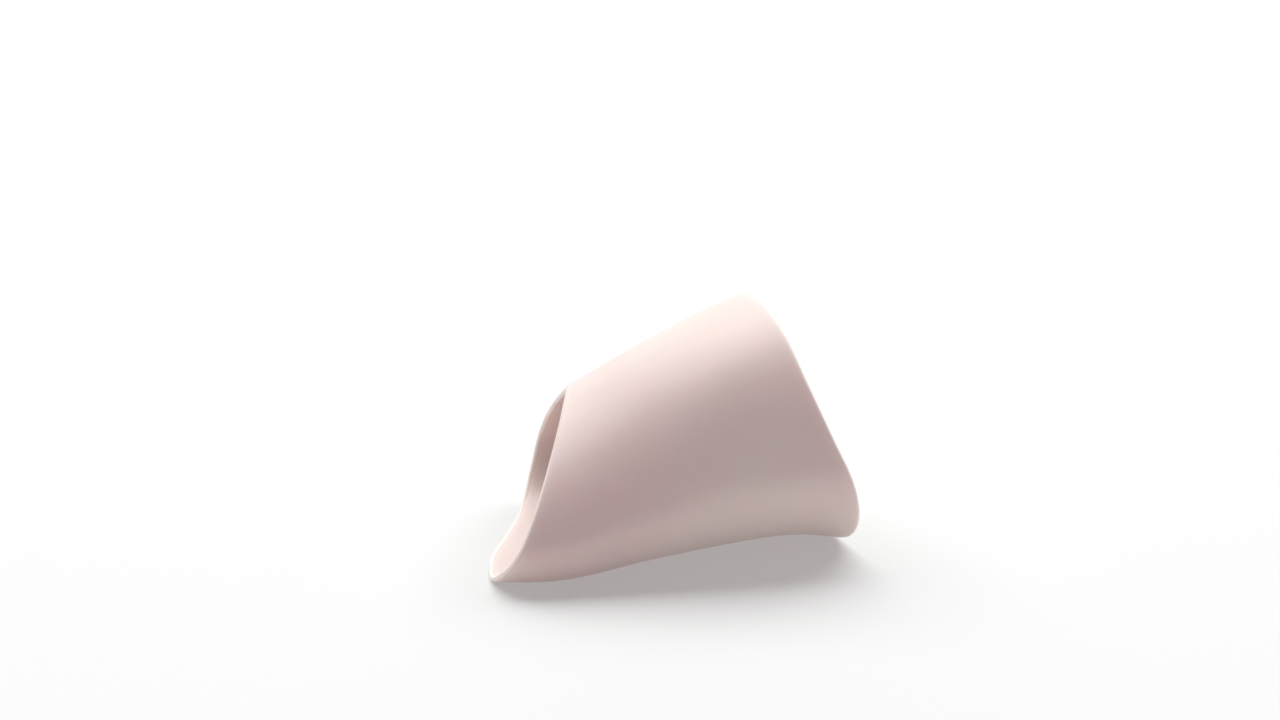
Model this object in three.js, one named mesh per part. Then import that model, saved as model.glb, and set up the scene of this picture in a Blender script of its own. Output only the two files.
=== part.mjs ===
// Gel arch sleeve for a right foot: one soft moulded gel wall, a tapered tube open at both ends.
// It keeps the form it has when worn: short over the instep, long under the arch.
// Millimetres. +X runs from toes to heel, -Y is the inner (medial) side, +Z is up. The sole rests on z = 0.
import * as THREE from 'three';

// Wall, measured square to the outer face
const WALL = 2.0;
const RIM_WALL = 1.5;
const TAPER_LENGTH = 9.0; // from a rim, the stretch over which the wall thickens from RIM_WALL to WALL

// Facets
const AROUND = 60; // a multiple of 20, so that every part of a section ends on a corner
const ALONG = 18;
const RIM_STEPS = 4;

// Roundness of a section's parts: 0.71 is a quarter ellipse, more is squarer, less is flatter
const INSTEP_LATERAL_ROUNDNESS = 0.55;
const SOLE_LATERAL_ROUNDNESS = 0.85;

// Outer face across the foot, a row for each section. Medial and lateral are its widest places, ridge is the
// highest, and flatFrom to flatTo is the strip on the floor. On the medial side, instepRound is the roundness
// from the ridge to the widest place, and archRound the roundness from there to the floor.
const SECTION_COLUMNS = [
  'x', 'medialY', 'medialZ', 'lateralY', 'lateralZ', 'ridgeY', 'ridgeZ', 'flatFrom', 'flatTo',
  'instepRound', 'archRound',
];
const SECTIONS = [
  [-54, -43.0, 13.5, 45.0, 15, -13.5, 35.6, -22, 30, 0.5, 0.51],
  [-33, -42.5, 16.5, 44.0, 17, -13.5, 44.3, -23, 28, 0.6, 0.56],
  [-12, -41.0, 23.5, 41.0, 19, -10.5, 56.8, -6, 26, 0.68, 0.61],
  [9, -40.0, 30.5, 37.5, 21, -3.5, 66.8, 10, 24, 0.94, 0.63],
  [30, -36.5, 31.5, 34.5, 23, 1, 73.8, 16.5, 22, 0.81, 0.53],
  [51, -31.0, 34, 32.0, 24, 1, 83.3, 2.5, 20, 0.65, 0.54],
];

// Share of the way round at which each part of a section ends, from the ridge down the medial side
const MEDIAL = 0.25;
const FLAT_START = 0.45;
const FLAT_END = 0.55;
const LATERAL = 0.7;

// How far the two rims reach along the foot, a row for each angle round the tube, in degrees from the top
// down the medial side
const RIM_COLUMNS = ['angle', 'frontX', 'rearX'];
const RIMS = [
  [0, -31.0, 19.2],
  [40, -33.8, 27.6],
  [70, -39.0, 36.4],
  [90, -44.5, 41.9],
  [110, -51.3, 44.8],
  [140, -51.8, 46.0],
  [180, -48.8, 44.4],
  [225, -45.0, 39.0],
  [270, -36.5, 29.5],
  [315, -30.6, 20.0],
];
const RIM_PASSES = 12;

const sectionCurve = new THREE.CubicInterpolant(
  SECTIONS.map((row) => row[0]),
  SECTIONS.flat(),
  SECTION_COLUMNS.length,
);

// The rim rows are repeated before and after, so that the curve closes smoothly on itself.
const rimRows = [-360, 0, 360].flatMap((turn) => RIMS.map(([angle, ...reach]) => [angle + turn, ...reach]));
const rimCurve = new THREE.CubicInterpolant(
  rimRows.map((row) => row[0]),
  rimRows.flat(),
  RIM_COLUMNS.length,
);

// One row of a table at any place between its rows, as an object with the table's column names
function rowAt(curve, columns, place) {
  const values = curve.evaluate(place);
  return Object.fromEntries(columns.map((name, index) => [name, values[index]]));
}

// A quarter round from (1, 0) to (0, 1), a conic that is pulled toward (1, 1) by its roundness
function quarterRound(share, roundness) {
  const start = (1 - share) ** 2;
  const corner = 2 * roundness * share * (1 - share);
  const end = share ** 2;
  const sum = start + corner + end;
  return { out: (start + corner) / sum, up: (corner + end) / sum };
}

// Outer face at a share of the way round and a place along the foot
function outerPoint(around, x) {
  const row = rowAt(sectionCurve, SECTION_COLUMNS, x);
  const { lerp, inverseLerp } = THREE.MathUtils;
  if (around <= MEDIAL) {
    const { out, up } = quarterRound(1 - around / MEDIAL, row.instepRound);
    return new THREE.Vector3(x, lerp(row.ridgeY, row.medialY, out), lerp(row.medialZ, row.ridgeZ, up));
  }
  if (around <= FLAT_START) {
    const { out, up } = quarterRound(inverseLerp(MEDIAL, FLAT_START, around), row.archRound);
    return new THREE.Vector3(x, lerp(row.flatFrom, row.medialY, out), lerp(row.medialZ, 0, up));
  }
  if (around <= FLAT_END) {
    const across = inverseLerp(FLAT_START, FLAT_END, around);
    return new THREE.Vector3(x, lerp(row.flatFrom, row.flatTo, across), 0);
  }
  if (around <= LATERAL) {
    const { out, up } = quarterRound(1 - inverseLerp(FLAT_END, LATERAL, around), SOLE_LATERAL_ROUNDNESS);
    return new THREE.Vector3(x, lerp(row.flatTo, row.lateralY, out), lerp(row.lateralZ, 0, up));
  }
  const { out, up } = quarterRound(inverseLerp(LATERAL, 1, around), INSTEP_LATERAL_ROUNDNESS);
  return new THREE.Vector3(x, lerp(row.ridgeY, row.lateralY, out), lerp(row.lateralZ, row.ridgeZ, up));
}

// Where a strip meets a rim. The rim's reach depends on the angle round the tube, and that angle shifts a
// little along the strip, so a few passes settle it.
function rimPlace(around, column) {
  let x = 0;
  for (let pass = 0; pass < RIM_PASSES; pass += 1) {
    const point = outerPoint(around, x);
    const row = rowAt(sectionCurve, SECTION_COLUMNS, x);
    const towardMedial = (row.medialY + row.lateralY) / 2 - point.y;
    const upward = point.z - (row.medialZ + row.lateralZ) / 2;
    const angle = THREE.MathUtils.radToDeg(Math.atan2(towardMedial, upward));
    x = rowAt(rimCurve, RIM_COLUMNS, angle)[column];
  }
  return x;
}

// The outer face as strips from front to rear, a strip for each facet corner round the tube
function outerStrips() {
  return Array.from({ length: AROUND }, (_, corner) => {
    const around = corner / AROUND;
    const front = rimPlace(around, 'frontX') + RIM_WALL / 2;
    const rear = rimPlace(around, 'rearX') - RIM_WALL / 2;
    return Array.from({ length: ALONG + 1 }, (_, step) =>
      outerPoint(around, THREE.MathUtils.lerp(front, rear, step / ALONG)));
  });
}

// Triangles between neighbouring strips, the last joined to the first
function stripIndices(stripLength, closedAlong) {
  const indices = [];
  const cells = closedAlong ? stripLength : stripLength - 1;
  for (let strip = 0; strip < AROUND; strip += 1) {
    const next = (strip + 1) % AROUND;
    for (let step = 0; step < cells; step += 1) {
      const ahead = (step + 1) % stripLength;
      const a = strip * stripLength + step;
      const b = next * stripLength + step;
      const c = next * stripLength + ahead;
      const d = strip * stripLength + ahead;
      indices.push(a, b, c, a, c, d);
    }
  }
  return indices;
}

function stripGeometry(strips, closedAlong) {
  const geometry = new THREE.BufferGeometry().setFromPoints(strips.flat());
  geometry.setIndex(stripIndices(strips[0].length, closedAlong));
  geometry.computeVertexNormals();
  return geometry;
}

// Wall thickness at a distance from the nearer rim
function wallAt(distance) {
  return THREE.MathUtils.lerp(RIM_WALL, WALL, THREE.MathUtils.smoothstep(distance, 0, TAPER_LENGTH));
}

// A half round over a rim, from the outer face to the inner face, without its two ends
function rimRound(edge, normal, outward) {
  const centre = edge.clone().addScaledVector(normal, -RIM_WALL / 2);
  return Array.from({ length: RIM_STEPS - 1 }, (_, step) => {
    const angle = (Math.PI * (step + 1)) / RIM_STEPS;
    return centre.clone()
      .addScaledVector(normal, (RIM_WALL / 2) * Math.cos(angle))
      .addScaledVector(outward, (RIM_WALL / 2) * Math.sin(angle));
  });
}

// The closed wall: each strip runs along the outer face, over the rear rim, back along the inner face
// and over the front rim
function wallGeometry() {
  const outer = outerStrips();
  const normalBuffer = stripGeometry(outer, false).getAttribute('normal');
  const normalAt = (strip, step) =>
    new THREE.Vector3().fromBufferAttribute(normalBuffer, strip * (ALONG + 1) + step);
  // Square to the rim and to the wall's normal: toward the heel with sign 1, toward the toes with sign -1
  const outwardAt = (strip, step, sign) => {
    const before = outer[(strip + AROUND - 1) % AROUND][step];
    const after = outer[(strip + 1) % AROUND][step];
    return normalAt(strip, step).cross(after.clone().sub(before)).multiplyScalar(sign).normalize();
  };
  const loops = outer.map((points, strip) => {
    const fromFront = points.map((point) => point.distanceTo(points[0]));
    const length = fromFront[ALONG];
    const inner = points.map((point, step) => {
      const distance = Math.min(fromFront[step], length - fromFront[step]);
      return point.clone().addScaledVector(normalAt(strip, step), -wallAt(distance));
    });
    const rearRound = rimRound(points[ALONG], normalAt(strip, ALONG), outwardAt(strip, ALONG, 1));
    const frontRound = rimRound(points[0], normalAt(strip, 0), outwardAt(strip, 0, -1));
    return [...points, ...rearRound, ...inner.reverse(), ...frontRound.reverse()];
  });
  return stripGeometry(loops, true);
}

// Centred over the origin, with the sole left on the floor
function centred(geometry) {
  geometry.computeBoundingBox();
  const centre = geometry.boundingBox.getCenter(new THREE.Vector3());
  return geometry.translate(-centre.x, -centre.y, 0);
}

const gel = new THREE.MeshStandardMaterial({ color: '#eadcd4', roughness: 0.5 });
const sleeve = new THREE.Mesh(centred(wallGeometry()), gel);
sleeve.name = 'gel_sleeve';

const part = new THREE.Group();
part.add(sleeve);

export default part;
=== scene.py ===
"""A gel arch sleeve for a right foot: one soft cast wall, a tapered tube that is open at both ends.

Metres. +X runs from toes to heel, -Y is the inner (medial) side and +Z is up. The sole rests on z = 0.
"""
import math

import bpy
import numpy as np
from mathutils import Matrix, Vector


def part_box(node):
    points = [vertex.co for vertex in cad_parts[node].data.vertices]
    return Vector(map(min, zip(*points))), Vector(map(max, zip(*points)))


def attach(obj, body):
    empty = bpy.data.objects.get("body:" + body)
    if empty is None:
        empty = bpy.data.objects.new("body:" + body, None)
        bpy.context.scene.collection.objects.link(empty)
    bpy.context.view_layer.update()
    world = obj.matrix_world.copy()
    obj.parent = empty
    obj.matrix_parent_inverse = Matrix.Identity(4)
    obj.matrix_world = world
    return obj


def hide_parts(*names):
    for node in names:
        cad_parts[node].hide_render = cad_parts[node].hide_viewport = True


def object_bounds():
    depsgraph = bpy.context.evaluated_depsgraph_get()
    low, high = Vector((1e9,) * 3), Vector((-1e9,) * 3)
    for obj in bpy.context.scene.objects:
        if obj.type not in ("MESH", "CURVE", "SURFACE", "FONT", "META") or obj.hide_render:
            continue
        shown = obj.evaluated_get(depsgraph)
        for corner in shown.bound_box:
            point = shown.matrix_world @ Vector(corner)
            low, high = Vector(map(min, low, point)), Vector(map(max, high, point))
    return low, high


SOLID = "gel_sleeve"

# Wall of the sleeve, square to its outer skin
WALL = 0.0020
RIM_WALL = 0.0015
TAPER_LENGTH = 0.0090  # from a rim, the stretch over which the wall thickens
SKIVE_WIDTH = 0.0010  # the slanted edge that each rim has on its outer side
SKIVE_DEPTH = 0.0008
UNEVENNESS = 0.0004  # the span over which a cast and stretched skin wanders in and out
WANDER_LENGTH = 0.020
WANDER_DETAIL = 1.0
WANDER_SEED = 7
LOWEST_CORNER = (-1.0, -1.0, 0.0)  # far outside the sleeve, but level with the floor

# Mesh of the skin, before it is smoothed
AROUND = 80  # a multiple of 20, so that every part of a section ends on a corner
ALONG = 30
SMOOTHING = 2
WELD = 0.000001

# Roundness of a section's parts: 0.71 is a quarter ellipse, more is squarer, less is flatter
INSTEP_LATERAL_ROUNDNESS = 0.55
SOLE_LATERAL_ROUNDNESS = 0.85

# Outer skin across the foot, a row for each section. Medial and lateral are its widest places, ridge is
# the highest, and flat_from to flat_to is the strip on the floor. On the medial side, instep_round is the
# roundness from the ridge to the widest place, and arch_round the roundness from there to the floor.
SECTION_COLUMNS = (
    "x", "medial_y", "medial_z", "lateral_y", "lateral_z",
    "ridge_y", "ridge_z", "flat_from", "flat_to", "instep_round", "arch_round",
)
SECTIONS = np.array([
    (-0.054, -0.0430, 0.0135, 0.0450, 0.0150, -0.0135, 0.0356, -0.0220, 0.0300, 0.50, 0.51),
    (-0.033, -0.0425, 0.0165, 0.0440, 0.0170, -0.0135, 0.0443, -0.0230, 0.0280, 0.60, 0.56),
    (-0.012, -0.0410, 0.0235, 0.0410, 0.0190, -0.0105, 0.0568, -0.0060, 0.0260, 0.68, 0.61),
    (0.009, -0.0400, 0.0305, 0.0375, 0.0210, -0.0035, 0.0668, 0.0100, 0.0240, 0.94, 0.63),
    (0.030, -0.0365, 0.0315, 0.0345, 0.0230, 0.0010, 0.0738, 0.0165, 0.0220, 0.81, 0.53),
    (0.051, -0.0310, 0.0340, 0.0320, 0.0240, 0.0010, 0.0833, 0.0025, 0.0200, 0.65, 0.54),
])

# Share of the way round at which each part of a section ends, from the ridge down the medial side
MEDIAL = 0.25
FLAT_START = 0.45
FLAT_END = 0.55
LATERAL = 0.70

# How far the two rims reach along the foot, a row for each angle round the tube, in degrees from the top
# down the medial side
RIM_COLUMNS = ("angle", "front_x", "rear_x")
RIMS = np.array([
    (0, -0.0310, 0.0192),
    (40, -0.0338, 0.0276),
    (70, -0.0390, 0.0364),
    (90, -0.0445, 0.0419),
    (110, -0.0513, 0.0448),
    (140, -0.0518, 0.0460),
    (180, -0.0488, 0.0444),
    (225, -0.0450, 0.0390),
    (270, -0.0365, 0.0295),
    (315, -0.0306, 0.0200),
])
FULL_TURN = 360
RIM_PASSES = 12

# Noise, which has this middle and seldom leaves the stretch from low to high
NOISE_LOW = 0.3
NOISE_MIDDLE = 0.5
NOISE_HIGH = 0.7

# Gel colours, and the sizes of what shows in the gel
GEL_PINK = "#e2cbc7"
GEL_GREY = "#e2d3cc"
# paler colour of the thin rims: partly the thinner gel, partly painted light showing through it
GEL_THIN_LIT = "#efe2dc"
# painted highlight: the pale line where each skived edge catches the light
GEL_EDGE_HIGHLIGHT = "#fbefe8"
CLOUD_SIZE = 0.040
CLOUD_DETAIL = 2.0
CLOUD_SEED = 1637.0
THIN_LIT_ZONE = 0.0040  # from a rim, the stretch over which the gel turns paler, partly for its thinner wall and partly as painted light showing through it
THIN_LIT_SHARE = 0.4  # how far the colour has turned, at the rim, to the paler colour of thin gel with painted light through it
EDGE_HIGHLIGHT_WIDTH = 0.0007  # from a rim, the stretch of its skived edge that is painted fully as a highlight, which fades out by the skive's width
GRAIN_SIZE = 0.0009
GRAIN_DETAIL = 2.0
GRAIN_DEPTH = 0.00002
GRAIN_STRENGTH = 0.5

# Gel finish
GEL_IOR = 1.43
GEL_ROUGHNESS = (0.42, 0.52)  # at the low and the high places of the grain
GEL_MILKINESS = 0.3
LIGHT_REACH = 0.0015  # how far light goes into the gel
LIGHT_REACH_SHARES = (1.0, 0.6, 0.5)  # red goes furthest

# Studio
FLOOR_COLOUR = "#b8b8b8"
FLOOR_ROUGHNESS = 0.9
FLOOR_GLOW = 0.565
FLOOR_SIZE = 12.0
WORLD_COLOUR = "#ffd2ee"
WORLD_STRENGTH = 0.168
SOFTBOXES = (  # name, width, height, place, power, colour
    ("key", 6.0, 3.5, (0.0, 1.0, 3.0), 236.0, "#f8fffb"),
    ("backdrop", 4.0, 1.5, (0.0, 2.8, 0.9), 18.0, "#ffffff"),
)

# Camera: a long lens from the medial side, a little above the sleeve and toward the toes
IMAGE_WIDTH = 1280
IMAGE_HEIGHT = 720
LENS_MM = 85.0
SENSOR_MM = 36.0
AZIMUTH = math.radians(-5)
ELEVATION = math.radians(15)
PIXELS_PER_METRE = 3750
MIDDLE_PIXEL = (667.4, 420.2)  # where the middle of the sleeve's box is seen


# Form of the outer skin

def lerp(start, end, share):
    return start + (end - start) * share


def cubic(table, places):
    """Rows of a table at places between them. A row's slope is the mean of the slopes on its two sides."""
    keys = table[:, 0]
    rise = np.diff(table, axis=0) / np.diff(keys)[:, None]
    slope = np.vstack([rise[:1], (rise[:-1] + rise[1:]) / 2, rise[-1:]])
    row = np.clip(np.searchsorted(keys, places, side="right") - 1, 0, len(keys) - 2)
    step = (keys[row + 1] - keys[row])[:, None]
    share = (places - keys[row])[:, None] / step
    ease = share ** 2 * (3 - 2 * share)
    leave = share * (1 - share) ** 2
    arrive = share ** 2 * (share - 1)
    return lerp(table[row], table[row + 1], ease) + step * (leave * slope[row] + arrive * slope[row + 1])


def quarter_round(share, roundness):
    """A quarter round from (1, 0) to (0, 1), a conic that is pulled toward (1, 1) by its roundness."""
    share = np.clip(share, 0, 1)
    start = (1 - share) ** 2
    corner = 2 * roundness * share * (1 - share)
    end = share ** 2
    total = start + corner + end
    return (start + corner) / total, (corner + end) / total


def section_at(x):
    """The section's named sizes at places along the foot."""
    return dict(zip(SECTION_COLUMNS, cubic(SECTIONS, x).T))


def skin_points(around, x):
    """Points of the outer skin at shares of the way round and places along the foot."""
    row = section_at(x)
    floor = np.zeros_like(x)

    def bend(side, side_share, end_y, end_z, end_share, roundness):
        """From a side's widest place to the ridge or to the floor."""
        out, up = quarter_round((around - side_share) / (end_share - side_share), roundness)
        return lerp(row[end_y], row[side + "_y"], out), lerp(row[side + "_z"], end_z, up)

    across = (around - FLAT_START) / (FLAT_END - FLAT_START)
    parts = [
        bend("medial", MEDIAL, "ridge_y", row["ridge_z"], 0, row["instep_round"]),
        bend("medial", MEDIAL, "flat_from", floor, FLAT_START, row["arch_round"]),
        (lerp(row["flat_from"], row["flat_to"], across), floor),
        bend("lateral", LATERAL, "flat_to", floor, FLAT_END, SOLE_LATERAL_ROUNDNESS),
        bend("lateral", LATERAL, "ridge_y", row["ridge_z"], 1, INSTEP_LATERAL_ROUNDNESS),
    ]
    ends = (MEDIAL, FLAT_START, FLAT_END, LATERAL, 1)
    y, z = np.select([around <= end for end in ends], [np.array(part) for part in parts])
    return np.stack([x, y, z], axis=-1)


def rim_places(around, column):
    """Places along the foot at which strips meet a rim.

    The rim's reach depends on the angle round the tube, and that angle shifts a little along a strip, so a
    few passes settle it. The rows are repeated before and after, so that the rim closes smoothly on itself.
    """
    rims = np.vstack([RIMS + (turn, 0, 0) for turn in (-FULL_TURN, 0, FULL_TURN)])
    x = np.zeros_like(around)
    for _ in range(RIM_PASSES):
        row = section_at(x)
        _, y, z = skin_points(around, x).T
        toward_medial = (row["medial_y"] + row["lateral_y"]) / 2 - y
        upward = z - (row["medial_z"] + row["lateral_z"]) / 2
        angle = np.degrees(np.arctan2(toward_medial, upward))
        x = cubic(rims, angle)[:, RIM_COLUMNS.index(column)]
    return x


def skin_sheet(middle):
    """The outer skin as an open sheet of quads, centred over the middle of the solid.

    The rows next to the rims lie one skive and one rim wall in, so that smoothing keeps the edges neat.
    """
    around = np.arange(AROUND) / AROUND
    front = rim_places(around, "front_x")[:, None]
    rear = rim_places(around, "rear_x")[:, None]
    between = lerp(front + RIM_WALL, rear - RIM_WALL, np.linspace(0, 1, ALONG - 1))
    x = np.hstack([front, front + SKIVE_WIDTH, between, rear - SKIVE_WIDTH, rear])
    rows = x.shape[1]
    points = skin_points(np.repeat(around, rows), x.ravel())
    points[:, :2] += np.array(middle.xy) - (points.min(axis=0) + points.max(axis=0))[:2] / 2
    strip, step = np.meshgrid(np.arange(AROUND), np.arange(rows - 1), indexing="ij")
    here = strip * rows + step
    beside = (strip + 1) % AROUND * rows + step
    faces = np.stack([here, beside, beside + 1, here + 1], axis=-1).reshape(-1, 4)
    mesh = bpy.data.meshes.new("skin_sheet")
    mesh.from_pydata(points.tolist(), [], faces.tolist())
    return mesh


# Nodes

def add(tree, kind, inputs=None, gives=None, **settings):
    """Adds a node with its settings and links, and returns one of its outputs.

    An input is named by its identifier, and is a value, an output of another node or a list of such outputs.
    The output is the one named by gives, or else the first that is in use.
    """
    node = tree.nodes.new(kind)
    for name, value in settings.items():
        setattr(node, name, value)
    for socket in node.inputs:
        value = (inputs or {}).get(socket.identifier)
        if isinstance(value, (bpy.types.NodeSocket, list)):
            for source in value if isinstance(value, list) else [value]:
                tree.links.new(source, socket)
        elif value is not None:
            socket.default_value = value
    return node.outputs[gives] if gives else next((socket for socket in node.outputs if socket.enabled), None)


def linear(colour):
    """An sRGB hex colour as the linear values that a shader takes."""
    parts = [int(colour[i:i + 2], 16) / 255 for i in (1, 3, 5)]
    return (*(part / 12.92 if part <= 0.04045 else ((part + 0.055) / 1.055) ** 2.4 for part in parts), 1.0)


def gel_wall_tree():
    """Geometry Nodes that give an open skin its wall, which thins toward the open edges, the rims."""
    tree = bpy.data.node_groups.new("gel_wall", "GeometryNodeTree")
    sockets = (
        ("Skin", "INPUT", "NodeSocketGeometry"),
        ("Wall", "INPUT", "NodeSocketFloat"),
        ("Rim wall", "INPUT", "NodeSocketFloat"),
        ("Taper length", "INPUT", "NodeSocketFloat"),
        ("Skive width", "INPUT", "NodeSocketFloat"),
        ("Skive depth", "INPUT", "NodeSocketFloat"),
        ("Unevenness", "INPUT", "NodeSocketFloat"),
        ("Wander length", "INPUT", "NodeSocketFloat"),
        ("Seed", "INPUT", "NodeSocketInt"),
        ("Smoothing", "INPUT", "NodeSocketInt"),
        ("Gel", "INPUT", "NodeSocketMaterial"),
        ("Sleeve", "OUTPUT", "NodeSocketGeometry"),
    )
    for name, side, kind in sockets:
        tree.interface.new_socket(name, in_out=side, socket_type=kind)
    given = tree.nodes.new("NodeGroupInput").outputs

    # Distance from the rims, which the gel's colour reads too
    faces = add(tree, "GeometryNodeInputMeshEdgeNeighbors")
    open_edge = add(
        tree, "FunctionNodeCompare", {"A_INT": faces, "B_INT": 1}, data_type="INT", operation="EQUAL")
    rims = add(
        tree, "GeometryNodeSeparateGeometry",
        {"Geometry": given["Skin"], "Selection": open_edge}, domain="EDGE")
    from_rim = add(tree, "GeometryNodeProximity", {"Target": rims}, gives="Distance", target_element="EDGES")
    marked = add(
        tree, "GeometryNodeStoreNamedAttribute",
        {"Geometry": given["Skin"], "Name": "from_rim", "Value": from_rim}, data_type="FLOAT", domain="POINT")

    # A skin that wanders a little, falls away at the skived rims and never goes below the floor
    per_length = add(
        tree, "ShaderNodeMath", {"Value": 1.0, "Value_001": given["Wander length"]}, operation="DIVIDE")
    noise = add(
        tree, "ShaderNodeTexNoise",
        {"W": given["Seed"], "Scale": per_length, "Detail": WANDER_DETAIL}, noise_dimensions="4D")
    swing = add(tree, "ShaderNodeMath", {"Value": noise, "Value_001": NOISE_MIDDLE}, operation="SUBTRACT")
    skive = add(
        tree, "ShaderNodeMapRange",
        {"Value": from_rim, "From Max": given["Skive width"], "To Min": given["Skive depth"], "To Max": 0.0})
    wander = add(
        tree, "ShaderNodeMath", {"Value": swing, "Value_001": given["Unevenness"]}, operation="MULTIPLY")
    height = add(tree, "ShaderNodeMath", {"Value": wander, "Value_001": skive}, operation="SUBTRACT")
    normal = add(tree, "GeometryNodeInputNormal")
    position = add(tree, "GeometryNodeInputPosition")
    shifted = add(
        tree, "ShaderNodeVectorMath",
        {"Vector": normal, "Vector_001": height, "Vector_002": position}, operation="MULTIPLY_ADD")
    above_floor = add(
        tree, "ShaderNodeVectorMath", {"Vector": shifted, "Vector_001": LOWEST_CORNER}, operation="MAXIMUM")
    skin = add(tree, "GeometryNodeSetPosition", {"Geometry": marked, "Position": above_floor})

    # The wall grows inward from the skin, and its sides at the open edges are the rims
    taper = add(
        tree, "ShaderNodeMapRange",
        {
            "Value": from_rim,
            "From Max": given["Taper length"],
            "To Min": given["Rim wall"],
            "To Max": given["Wall"],
        },
        interpolation_type="SMOOTHSTEP")
    inward = add(tree, "ShaderNodeMath", {"Value": skive, "Value_001": taper}, operation="SUBTRACT")
    grown = add(
        tree, "GeometryNodeExtrudeMesh",
        {"Mesh": skin, "Offset Scale": inward, "Individual": False}, mode="FACES")
    turned = add(tree, "GeometryNodeFlipFaces", {"Mesh": grown})
    joined = add(tree, "GeometryNodeJoinGeometry", {"Geometry": [skin, turned]})
    welded = add(tree, "GeometryNodeMergeByDistance", {"Geometry": joined, "Distance": WELD})
    smooth = add(tree, "GeometryNodeSubdivisionSurface", {"Mesh": welded, "Level": given["Smoothing"]})
    shaded = add(tree, "GeometryNodeSetShadeSmooth", {"Geometry": smooth})
    whole = add(tree, "GeometryNodeRealizeInstances", {"Geometry": shaded})
    finished = add(tree, "GeometryNodeSetMaterial", {"Geometry": whole, "Material": given["Gel"]})
    tree.links.new(finished, tree.nodes.new("NodeGroupOutput").inputs["Sleeve"])
    return tree


# Materials

def cast_silicone_gel():
    """Silicone gel, cast in a smooth mould.

    It is milky: light goes a little way in, so that shade stays warm. Toward the rims the colour turns paler,
    partly for the thinner gel and partly as painted light showing through it, and each skived edge carries a
    painted highlight line. Its skin is satin, with broad weak highlights, and faint pink and grey clouds show
    where the gel is clearer or denser.
    """
    material = bpy.data.materials.new("cast_silicone_gel")
    material.use_nodes = True
    tree = material.node_tree
    tree.nodes.clear()
    place = add(tree, "ShaderNodeTexCoord", gives="Object")
    clouds = add(
        tree, "ShaderNodeTexNoise",
        {"Vector": place, "W": CLOUD_SEED, "Scale": 1 / CLOUD_SIZE, "Detail": CLOUD_DETAIL},
        noise_dimensions="4D")
    density = add(
        tree, "ShaderNodeMapRange", {"Value": clouds, "From Min": NOISE_LOW, "From Max": NOISE_HIGH})
    body = add(
        tree, "ShaderNodeMix",
        {"Factor_Float": density, "A_Color": linear(GEL_PINK), "B_Color": linear(GEL_GREY)}, data_type="RGBA")
    from_rim = add(tree, "ShaderNodeAttribute", gives="Fac", attribute_name="from_rim")
    # painted light: the colour turns paler toward the rims, partly for the thinner gel and partly as light
    # showing through it
    thin_light = add(
        tree, "ShaderNodeMapRange",
        {"Value": from_rim, "From Max": THIN_LIT_ZONE, "To Min": THIN_LIT_SHARE, "To Max": 0.0},
        interpolation_type="SMOOTHSTEP")
    thin_lit_colour = add(
        tree, "ShaderNodeMix",
        {"Factor_Float": thin_light, "A_Color": body, "B_Color": linear(GEL_THIN_LIT)}, data_type="RGBA")
    # painted highlight: a pale line along each skived edge, where it catches the light
    edge_highlight = add(
        tree, "ShaderNodeMapRange",
        {"Value": from_rim, "From Min": EDGE_HIGHLIGHT_WIDTH, "From Max": SKIVE_WIDTH, "To Min": 1.0, "To Max": 0.0},
        interpolation_type="SMOOTHSTEP")
    colour = add(
        tree, "ShaderNodeMix",
        {"Factor_Float": edge_highlight, "A_Color": thin_lit_colour, "B_Color": linear(GEL_EDGE_HIGHLIGHT)}, data_type="RGBA")
    grain = add(
        tree, "ShaderNodeTexNoise", {"Vector": place, "Scale": 1 / GRAIN_SIZE, "Detail": GRAIN_DETAIL})
    smoothest, roughest = GEL_ROUGHNESS
    roughness = add(
        tree, "ShaderNodeMapRange",
        {
            "Value": grain,
            "From Min": NOISE_LOW,
            "From Max": NOISE_HIGH,
            "To Min": smoothest,
            "To Max": roughest,
        })
    bump = add(tree, "ShaderNodeBump", {"Strength": GRAIN_STRENGTH, "Distance": GRAIN_DEPTH, "Height": grain})
    gel = add(
        tree, "ShaderNodeBsdfPrincipled",
        {
            "Base Color": colour,
            "Roughness": roughness,
            "IOR": GEL_IOR,
            "Normal": bump,
            "Subsurface Weight": GEL_MILKINESS,
            "Subsurface Radius": LIGHT_REACH_SHARES,
            "Subsurface Scale": LIGHT_REACH,
        },
        subsurface_method="RANDOM_WALK")
    add(tree, "ShaderNodeOutputMaterial", {"Surface": gel})
    return material


def opal_acrylic_table():
    """Opal acrylic sheet, sanded matt and lit a little from below: pale and even, with soft light shadows."""
    material = bpy.data.materials.new("opal_acrylic_table")
    material.use_nodes = True
    tree = material.node_tree
    tree.nodes.clear()
    table = add(
        tree, "ShaderNodeBsdfPrincipled",
        {
            "Base Color": linear(FLOOR_COLOUR),
            "Roughness": FLOOR_ROUGHNESS,
            "Emission Color": linear(FLOOR_COLOUR),
            "Emission Strength": FLOOR_GLOW,
        })
    add(tree, "ShaderNodeOutputMaterial", {"Surface": table})
    return material


# Pieces and studio

def place_object(name, data):
    made = bpy.data.objects.new(name, data)
    bpy.context.scene.collection.objects.link(made)
    return made


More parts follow.
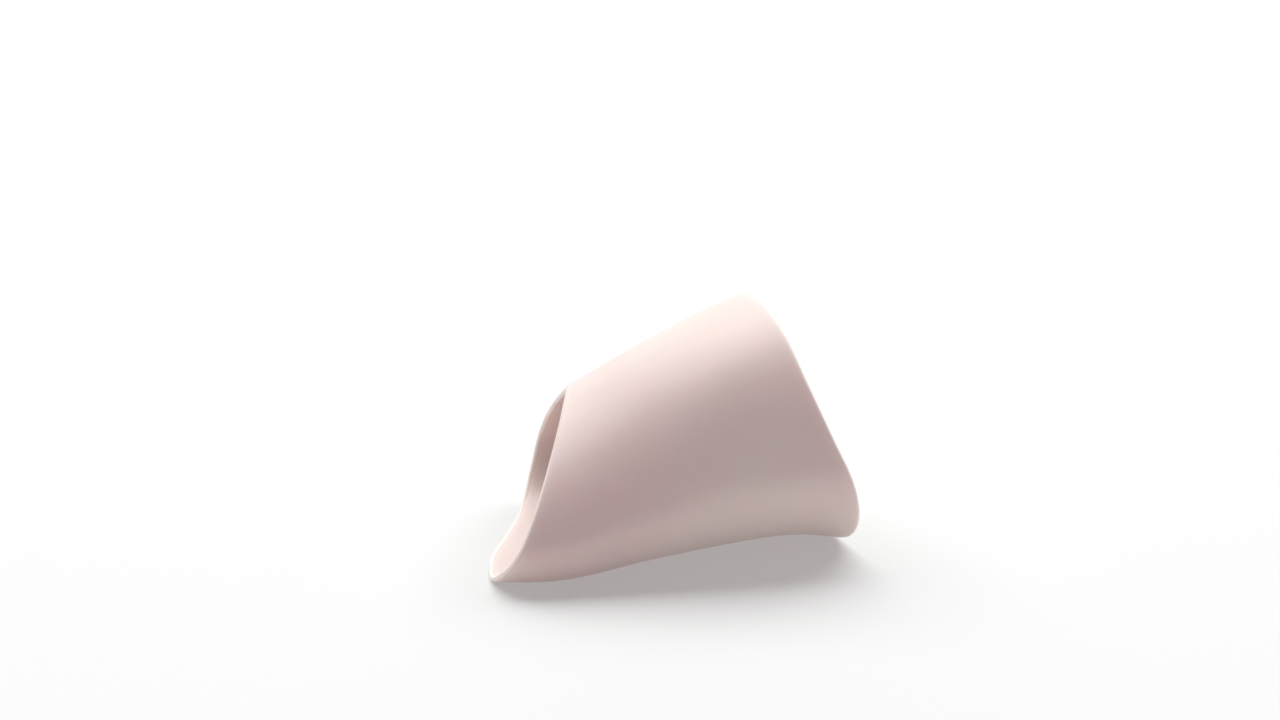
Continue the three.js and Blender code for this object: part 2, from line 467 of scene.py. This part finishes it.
def arch_sleeve():
    """The whole sleeve: its skin, made a wall by the gel wall tree and kept as a plain mesh."""
    low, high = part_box(SOLID)
    sleeve = place_object("arch_sleeve", skin_sheet((low + high) / 2))
    wall = sleeve.modifiers.new("gel_wall", "NODES")
    wall.node_group = gel_wall_tree()
    sizes = {
        "Wall": WALL,
        "Rim wall": RIM_WALL,
        "Taper length": TAPER_LENGTH,
        "Skive width": SKIVE_WIDTH,
        "Skive depth": SKIVE_DEPTH,
        "Unevenness": UNEVENNESS,
        "Wander length": WANDER_LENGTH,
        "Seed": WANDER_SEED,
        "Smoothing": SMOOTHING,
        "Gel": cast_silicone_gel(),
    }
    for socket in wall.node_group.interface.items_tree:
        if socket.name in sizes:
            wall[socket.identifier] = sizes[socket.name]
    graph = bpy.context.evaluated_depsgraph_get()
    sleeve.data = bpy.data.meshes.new_from_object(
        sleeve.evaluated_get(graph), preserve_all_data_layers=True, depsgraph=graph)
    sleeve.modifiers.clear()
    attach(sleeve, "root")
    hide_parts(SOLID)


def studio_floor():
    half = FLOOR_SIZE / 2
    mesh = bpy.data.meshes.new("studio_floor")
    corners = [(-half, -half, 0), (half, -half, 0), (half, half, 0), (-half, half, 0)]
    mesh.from_pydata(corners, [], [(0, 1, 2, 3)])
    mesh.materials.append(opal_acrylic_table())
    place_object("studio_floor", mesh)


def studio_light():
    """A large softbox overhead, a lit white backdrop behind, and a weak pink fill from all round."""
    for name, width, height, place, power, colour in SOFTBOXES:
        softbox = bpy.data.lights.new(name, "AREA")
        softbox.shape = "RECTANGLE"
        softbox.size = width
        softbox.size_y = height
        softbox.energy = power
        softbox.color = linear(colour)[:3]
        lamp = place_object(name, softbox)
        lamp.location = place
        lamp.rotation_euler = Vector(place).to_track_quat("Z", "Y").to_euler()
    world = bpy.data.worlds.new("studio")
    world.use_nodes = True
    fill = world.node_tree.nodes["Background"].inputs
    fill["Color"].default_value = linear(WORLD_COLOUR)
    fill["Strength"].default_value = WORLD_STRENGTH
    bpy.context.scene.world = world
    bpy.context.scene.view_settings.view_transform = "Standard"


def photo_camera(middle):
    """The middle of the sleeve's box is seen at its pixel, at the scale that the photograph has there."""
    camera = bpy.data.cameras.new("camera")
    camera.lens = LENS_MM
    camera.sensor_width = SENSOR_MM
    distance = LENS_MM / SENSOR_MM * IMAGE_WIDTH / PIXELS_PER_METRE
    back = Vector((
        math.sin(AZIMUTH) * math.cos(ELEVATION),
        -math.cos(AZIMUTH) * math.cos(ELEVATION),
        math.sin(ELEVATION),
    ))
    right = Vector((math.cos(AZIMUTH), math.sin(AZIMUTH), 0))
    up = back.cross(right)
    to_right = (MIDDLE_PIXEL[0] - IMAGE_WIDTH / 2) / PIXELS_PER_METRE
    downward = (MIDDLE_PIXEL[1] - IMAGE_HEIGHT / 2) / PIXELS_PER_METRE
    stand = middle + back * distance - right * to_right + up * downward
    axes = Matrix((right, up, back)).transposed().to_4x4()
    seen_from = place_object("camera", camera)
    seen_from.matrix_world = Matrix.Translation(stand) @ axes
    bpy.context.scene.camera = seen_from


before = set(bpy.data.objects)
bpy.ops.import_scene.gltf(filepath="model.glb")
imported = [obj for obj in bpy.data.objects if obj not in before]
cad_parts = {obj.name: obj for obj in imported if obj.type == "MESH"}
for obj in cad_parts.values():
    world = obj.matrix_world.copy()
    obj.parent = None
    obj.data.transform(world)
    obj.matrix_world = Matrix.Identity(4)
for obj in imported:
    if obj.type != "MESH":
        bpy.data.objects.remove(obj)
cad_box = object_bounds()
arch_sleeve()
studio_floor()
studio_light()
photo_camera((cad_box[0] + cad_box[1]) / 2)
